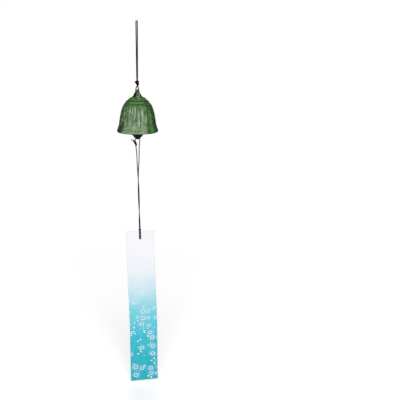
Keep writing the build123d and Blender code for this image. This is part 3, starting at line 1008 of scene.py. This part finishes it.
def bell():
    """The painted casting, turned from its outline, with its relief."""
    outline, zones = bell_outline()
    count = len(outline)
    along = np.roll(outline, -1, axis=0) - np.roll(outline, 1, axis=0)
    outward = np.stack((along[:, 1], -along[:, 0]), axis=1)
    outward /= np.linalg.norm(outward, axis=1)[:, None]
    turn = np.tile(np.arange(BELL_TURNS) / BELL_TURNS, (count, 1))
    radius, height = (np.tile(outline[:, axis][:, None], (1, BELL_TURNS)) for axis in (0, 1))
    zone = np.tile(zones[:, None], (1, BELL_TURNS))
    relief = bell_relief(zone, turn, height, radius)
    raised = RELIEF_LIMIT * np.tanh(relief / RELIEF_LIMIT)
    reach = radius + outward[:, 0][:, None] * raised
    level = height + outward[:, 1][:, None] * raised
    angle = turn * 2 * math.pi
    places = np.stack((reach * np.sin(angle), -reach * np.cos(angle), level + RIM_LEVEL), axis=2) * MM
    piece = new_piece("bell_casting", places.reshape(-1, 3), ring_faces(count, BELL_TURNS, True))
    values = {
        "relief": worn_paint(zone, turn, height, radius, relief),
        "glaze": thick_paint(zone, turn, height),
        "dirt_and_shade": dark_paint(zone, turn, height, relief),
        "bare": np.where(zone == "body", bare_share(turn, height, radius), 0),
        "inside": np.where(zone == "inside", 1.0, 0.0),
    }
    for name, numbers in values.items():
        add_values(piece, name, numbers)
    cut_slot(piece)
    return piece


def worn_paint(zone, turn, height, radius, relief):
    """How worn and pale the paint is, from 0 to 1, with painted highlights on the bead's crest and the neck's
    foot.
    """
    panel = panel_share(turn, height)
    drop = np.clip(1 - height / BODY_TOP, 0, 1)
    worn = BODY_WORN + (PANEL_WORN[0] + PANEL_WORN[1] * drop) * panel + RELIEF_WORN * relief
    mottle = lattice_noise(turn, rising(height, *MOTTLE_SPAN), *MOTTLE_GRID) - 0.5
    # Painted highlight on the pale facet at the neck's foot
    pale = stroke(turn, height, radius, CAP_FOOT_HIGHLIGHT)
    for name, (level, share) in (("cap", CAP_WORN), ("neck", NECK_WORN)):
        worn = np.where(zone == name, level + share * mottle + pale, worn)
    # The bead's crest: rubbed paint and a painted highlight, stronger on the panels
    crest = np.sin(math.pi * rising(height, GROOVE[1], BEAD_TOP[1] - GROOVE[1])) ** CREST_POWER
    level, front, gain = BEAD_WEAR_AND_HIGHLIGHT
    worn = np.where(zone == "bead", level + (front + gain * panel) * crest, worn)
    worn = np.where(zone == "groove", GROOVE_WORN, worn)
    lip = LIP_WORN * line_share(height, *LIP_LINE) * panel
    worn = np.where(np.isin(zone, ("lip", "body")), worn + lip, worn)
    worn = np.where(zone == "body", worn + SMOOTH_WORN * smooth_share(turn, height), worn)
    return np.clip(worn, 0, 1)


def thick_paint(zone, turn, height):
    """How thick and smooth the paint is, from 0 to 1."""
    glaze = np.where(zone == "body", smooth_share(turn, height), 0)
    for name, share in (("bead", BEAD_GLAZE), ("cap", CAP_GLAZE)):
        glaze = np.where(zone == name, share, glaze)
    top = BEAD_GLAZE * rising(height, *GLAZE_FOOT)
    return np.where(np.isin(zone, ("body", "groove")), np.maximum(glaze, top), glaze)


def dark_paint(zone, turn, height, relief):
    """How dark the paint is, from 0 to 1: painted shade in furrows and grooves, and in hollows with their
    dark paint.
    """
    # Painted shade: dark in the furrows of the neck and where they reach down onto the cap
    furrows = neck_furrows(turn, height)
    dirt_and_shade = np.where(zone == "cap", furrows, 0)
    # Painted shade over the neck's top, round the slot
    top = NECK_TOP_SHADE * rising(height, *NECK_TOP_SHADE_FOOT)
    dirt_and_shade = np.where(zone == "neck", np.maximum(furrows, top), dirt_and_shade)
    # Painted shade: dark lines in the grooves below and above the bead
    under = UNDER_BEAD_SHADE * line_share(height, GROOVE[1] - UNDER_LINE[0], UNDER_LINE[1])
    dirt_and_shade = np.where(np.isin(zone, ("groove", "bead", "body")), np.maximum(dirt_and_shade, under), dirt_and_shade)
    over = OVER_BEAD_SHADE * line_share(height, BEAD_TOP[1] + OVER_LINE[0], OVER_LINE[1])
    dirt_and_shade = np.where(np.isin(zone, ("cap", "bead")), np.maximum(dirt_and_shade, over), dirt_and_shade)
    # The body's hollows: dark paint together with painted shade, deeper where the relief sinks
    share, most = HOLLOW_DIRT_AND_SHADE
    dirt_and_shade = np.where(zone == "body", np.maximum(dirt_and_shade, np.clip(-share * relief, 0, most)), dirt_and_shade)
    # Darker towards the lip's foot
    foot, slope, most = LIP_FOOT_DARKENING
    return np.where(zone == "lip", np.clip(foot - slope * height, 0, most), dirt_and_shade)


def cut_slot(piece):
    """Cut the slot across the neck's top, round at its foot, and keep the values for the paint."""
    half = SLOT_WIDTH / 2
    rounded = [math.radians(180 + 180 * step / SLOT_SIDES) for step in range(SLOT_SIDES + 1)]
    section = [(half * math.cos(angle), SLOT_FOOT + half + half * math.sin(angle)) for angle in rounded]
    section += [(half, NECK_TOP_OUTLINE[-1][1] + half), (-half, NECK_TOP_OUTLINE[-1][1] + half)]
    reach = 2 * NECK_OUTLINE[-1][0]
    vertices = [Vector((x, y, z + RIM_LEVEL)) * MM for x in (-reach, reach) for y, z in section]
    count = len(section)
    faces = [tuple(range(count))[::-1], tuple(range(count, 2 * count)), *ring_faces(2, count, False)]
    cutter = new_piece("slot_cutter", vertices, faces, smooth=False)
    cut = piece.modifiers.new("slot", "BOOLEAN")
    cut.operation = "DIFFERENCE"
    cut.solver = "EXACT"
    cut.object = cutter
    shaped = bpy.data.meshes.new_from_object(piece.evaluated_get(bpy.context.evaluated_depsgraph_get()))
    piece.modifiers.clear()
    piece.data = shaped
    clean(piece)
    bpy.data.objects.remove(cutter)


def bell_eye():
    """The eye's bar, cast over the slot in the neck's top."""
    def section(angle, _):
        ways = ((math.cos(angle), EYE_THICKNESS), (math.sin(angle), EYE_BAR))
        reach = [math.copysign(abs(way) ** EYE_CORNER_POWER, way) * size / 2 * MM for way, size in ways]
        return *reach, (angle / (2 * math.pi), 0)

    points = spline_points(in_metres([(0, y, z) for y, z in EYE_ROUTE], RIM_LEVEL))
    piece = sweep("bell_eye", points, section)
    for name, level in (("relief", EYE_WORN), ("dirt_and_shade", EYE_DIRT)):
        add_values(piece, name, np.full(len(piece.data.vertices), level))
    return piece


def strip_place(across, down):
    """A place on the hanging strip, from millimetres right of its middle and below its top."""
    share = down / STRIP_LENGTH
    bowed = max(0, share - STRIP_FLAT_SHARE) / (1 - STRIP_FLAT_SHARE)
    bow = STRIP_BOW * math.sin(math.pi * bowed) ** 2
    yaw = math.radians(STRIP_YAW_TOP + (STRIP_YAW_BOTTOM - STRIP_YAW_TOP) * bowed)
    x = across * math.cos(yaw) + bow * math.sin(yaw)
    y = across * math.sin(yaw) - bow * math.cos(yaw)
    return Vector((x, y, STRIP_TOP - down)) * MM


def strip_grid():
    """Flat places of the strip's grid, and its faces but for a patch about the hole."""
    places = [((column / STRIP_COLUMNS - 0.5) * STRIP_WIDTH, row / STRIP_ROWS * STRIP_LENGTH)
              for row in range(STRIP_ROWS + 1) for column in range(STRIP_COLUMNS + 1)]
    wide = STRIP_COLUMNS + 1
    left = (STRIP_COLUMNS - 1) // 2 - HOLE_PATCH + 1
    top = round(STRIP_HOLE_DROP / STRIP_LENGTH * STRIP_ROWS) - HOLE_PATCH
    right, bottom = STRIP_COLUMNS - left, top + 2 * HOLE_PATCH
    faces = []
    for row in range(STRIP_ROWS):
        for column in range(STRIP_COLUMNS):
            if not (left <= column < right and top <= row < bottom):
                corner = row * wide + column
                faces.append((corner, corner + wide, corner + wide + 1, corner + 1))
    rim = [top * wide + column for column in range(left, right)]
    rim += [row * wide + right for row in range(top, bottom)]
    rim += [bottom * wide + column for column in range(right, left, -1)]
    rim += [row * wide + left for row in range(bottom, top, -1)]
    return places, faces, rim


def punch_hole(places, faces, rim):
    """Fill the patch about the hole with rings that run from the grid in to the punched edge."""
    ring = rim
    for step in range(1, HOLE_RINGS + 1):
        inner = []
        for index in rim:
            across, down = places[index]
            away = Vector((across, down - STRIP_HOLE_DROP))
            edge = away.normalized() * (STRIP_HOLE_DIAMETER / 2)
            place = away.lerp(edge, step / HOLE_RINGS)
            inner.append(len(places))
            places.append((place.x, place.y + STRIP_HOLE_DROP))
        for index in range(len(rim)):
            after = (index + 1) % len(rim)
            faces.append((ring[index], inner[index], inner[after], ring[after]))
        ring = inner


def paper_strip():
    """The paper strip, punched near its top edge, bowed and turned as it hangs."""
    places, faces, rim = strip_grid()
    punch_hole(places, faces, rim)
    vertices = leaned([strip_place(across, down) for across, down in places])
    uvs = [(across + STRIP_WIDTH / 2, down) for across, down in places]
    piece = new_piece("wind_strip", vertices, faces, uvs)
    clean(piece)
    thick = piece.modifiers.new("thickness", "SOLIDIFY")
    thick.thickness = STRIP_THICKNESS * MM
    thick.offset = 0
    return piece


def cords(cord, thread):
    """The hanging cord, the thread loop and the two strands, each of its own length."""
    line = spline_points(in_metres(HANGER_ROUTE))
    hanger = rope("hanging_cord", line, CORD_DIAMETER, CORD_LAY)
    join(hanger, cord, "hanger_cord")
    line = spline_points(in_metres(LOOP_ROUTE, LUG_LEVEL))
    loop = rope("thread_loop", line, LOOP_DIAMETER)
    dress(loop, "pull_loop", thread, "pull_loop")
    for side, name in ((1, "left"), (-1, "right")):
        route = [(side * x, side * y, z) for x, y, z in STRAND_ROUTE]
        line = leaned(spline_points(in_metres(route, LOOP_FOOT_LEVEL)))
        strand = rope("strip_strand_" + name, line)
        join(strand, thread, "strip_thread")


def cord_ties(cord):
    """The cord's knot, and its loop through the bell's eye."""
    knot = tied("cord_knot_tied", (0, 0, KNOT_MIDDLE), CORD_KNOT, CORD_LAY)
    dress(knot, "cord_knot", cord, "hanger_knot")
    loop = rope("cord_loop", spline_points(in_metres(EYE_LOOP_ROUTE)), EYE_LOOP_DIAMETER, CORD_LAY)
    join(loop, cord, "eye_loop")


def clapper_ties(thread):
    """The clapper's thread: its stopper, its lines in the neck and below it, its knot and its ring."""
    top = RIM_LEVEL + STOPPER_HEIGHT
    above, below = PIVOT_GAPS
    neck = plumb((top, top - NECK_STRAND_DROP, PIVOT_LEVEL - above))
    foot = CLAPPER_KNOT_LEVEL + CLAPPER_STRAND_OVERLAP
    strand = plumb((PIVOT_LEVEL - below, CLAPPER_STRAND_MIDDLE, foot))
    ring = ring_points(RIM_LEVEL + CLAPPER_RING_FOOT + CLAPPER_RING_RADIUS, CLAPPER_RING_RADIUS)
    pieces = (
        (tied("stopper", (0, 0, top), STOPPER_KNOT), "neck_thread", "stopper_knot"),
        (rope("neck_strand", spline_points(neck)), "neck_thread", "neck_thread"),
        (rope("clapper_strand", spline_points(strand)), "clapper", "clapper_thread"),
        (tied("clapper_knot_tied", (0, 0, CLAPPER_KNOT_LEVEL), CLAPPER_KNOT), "clapper", "clapper_knot"),
        (rope("clapper_ring", ring, closed=True), "clapper", "clapper_tie"),
    )
    for piece, body, node in pieces:
        dress(piece, body, thread, node)


def loop_ties(thread):
    """The knot of the thread loop and its two cut ends."""
    x, y, z = LOOP_KNOT_PLACE
    knot = tied("loop_knot_tied", (x, y, z + LUG_LEVEL), LOOP_KNOT)
    dress(knot, "pull_loop", thread, "loop_knot")
    tails = (("long", LONG_TAIL_ROUTE, THREAD_DIAMETER), ("short", SHORT_TAIL_ROUTE, SHORT_TAIL_DIAMETER))
    for name, route, diameter in tails:
        tail = rope("tail_" + name, spline_points(in_metres(route, LUG_LEVEL)), diameter)
        dress(tail, "pull_loop", thread, "loop_tails")


def hitch(thread):
    """The thread's hitch on the strip: a knot above the top edge and a doubled turn through the hole."""
    yaw = Matrix.Rotation(math.radians(STRIP_YAW_TOP), 3, "Z")
    line = spline_points(in_metres(HITCH_ROUTE, STRIP_HOLE_LEVEL))
    line = leaned([yaw @ point for point in line])
    turn = rope("hitch_turn", line, HITCH_WIDTH, HITCH_LAY, plies=HITCH_PLIES, depth=HITCH_DEPTH_SHARE)
    dress(turn, "strip", thread, "strip_hitch")
    *sizes, diameter = HITCH_KNOT
    line = leaned(knot_points((0, 0, HITCH_LEVEL), *sizes))
    dress(rope("hitch_knot", line, diameter, closed=True), "strip", thread)


def floor():
    """A plain white matt floor just below the strip."""
    shader = Shader(bpy.data.materials.new("floor_white"))
    glow = shader.add("Emission", {"Strength": shader.times(shader.seen(), FLOOR_GLOW)})
    matt = shader.add("BsdfDiffuse", {"Color": (FLOOR_WHITE, FLOOR_WHITE, FLOOR_WHITE, 1)})
    plain = shader.add("AddShader", {0: matt.outputs[0], 1: glow.outputs[0]})
    shader.put(shader.tree.nodes["Material Output"].inputs["Surface"], plain.outputs[0])
    level = cad_box[0][2] - FLOOR_GAP * MM
    half = FLOOR_SIDE / 2
    corners = [(-half, -half, level), (half, -half, level), (half, half, level), (-half, half, level)]
    plane = new_piece("studio_floor", corners, [(0, 1, 2, 3)], smooth=False)
    plane.data.materials.append(shader.owner)


def room():
    """Even light from all round, seen as white."""
    shader = Shader(bpy.data.worlds.new("room"))
    inputs = {"Value": shader.seen(), "To Min": ROOM_LIGHT, "To Max": 1.0}
    background = shader.tree.nodes["Background"].inputs
    shader.put(background["Color"], (1, 1, 1, 1))
    shader.put(background["Strength"], shader.add("MapRange", inputs).outputs["Result"])
    bpy.context.scene.world = shader.owner


def lamp(name, towards, strength, width):
    """A wide, soft lamp far away in one direction."""
    light = bpy.data.lights.new(name, "SUN")
    light.energy = strength
    light.angle = math.radians(width)
    holder = bpy.data.objects.new(name, light)
    holder.rotation_euler = Vector(towards).to_track_quat("Z", "Y").to_euler()
    bpy.context.scene.collection.objects.link(holder)


def camera():
    """The camera at the photograph's viewing angle."""
    data = bpy.data.cameras.new("camera")
    data.sensor_width = CAMERA_SENSOR
    data.lens = CAMERA_LENS
    holder = bpy.data.objects.new("camera", data)
    holder.location = CAMERA_PLACE
    holder.rotation_euler = (math.radians(CAMERA_PITCH), 0, 0)
    bpy.context.scene.collection.objects.link(holder)
    bpy.context.scene.camera = holder


bpy.context.scene.view_settings.view_transform = "Standard"
camera()
room()
floor()
lamp("key_lamp", *KEY_LAMP)
lamp("back_lamp", *BACK_LAMP)

black_cord = (cord_material("cord_fibre", CORD_SHADES), "cord_black")
black_thread = (cord_material("thread_fibre", THREAD_SHADES), "thread_black")
cords(black_cord, black_thread)
cord_ties(black_cord)
clapper_ties(black_thread)
loop_ties(black_thread)
hitch(black_thread)
green_paint = (bell_material(), "bell_paint")
dress(bell(), "bell", green_paint, "bell_body")
dress(bell_eye(), "bell", green_paint)
strip = dress(paper_strip(), "strip", (paper_material(), "strip_paper"), "paper_strip")
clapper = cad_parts["clapper"]
clapper.data.materials.clear()
clapper.data.materials.append(iron_material())
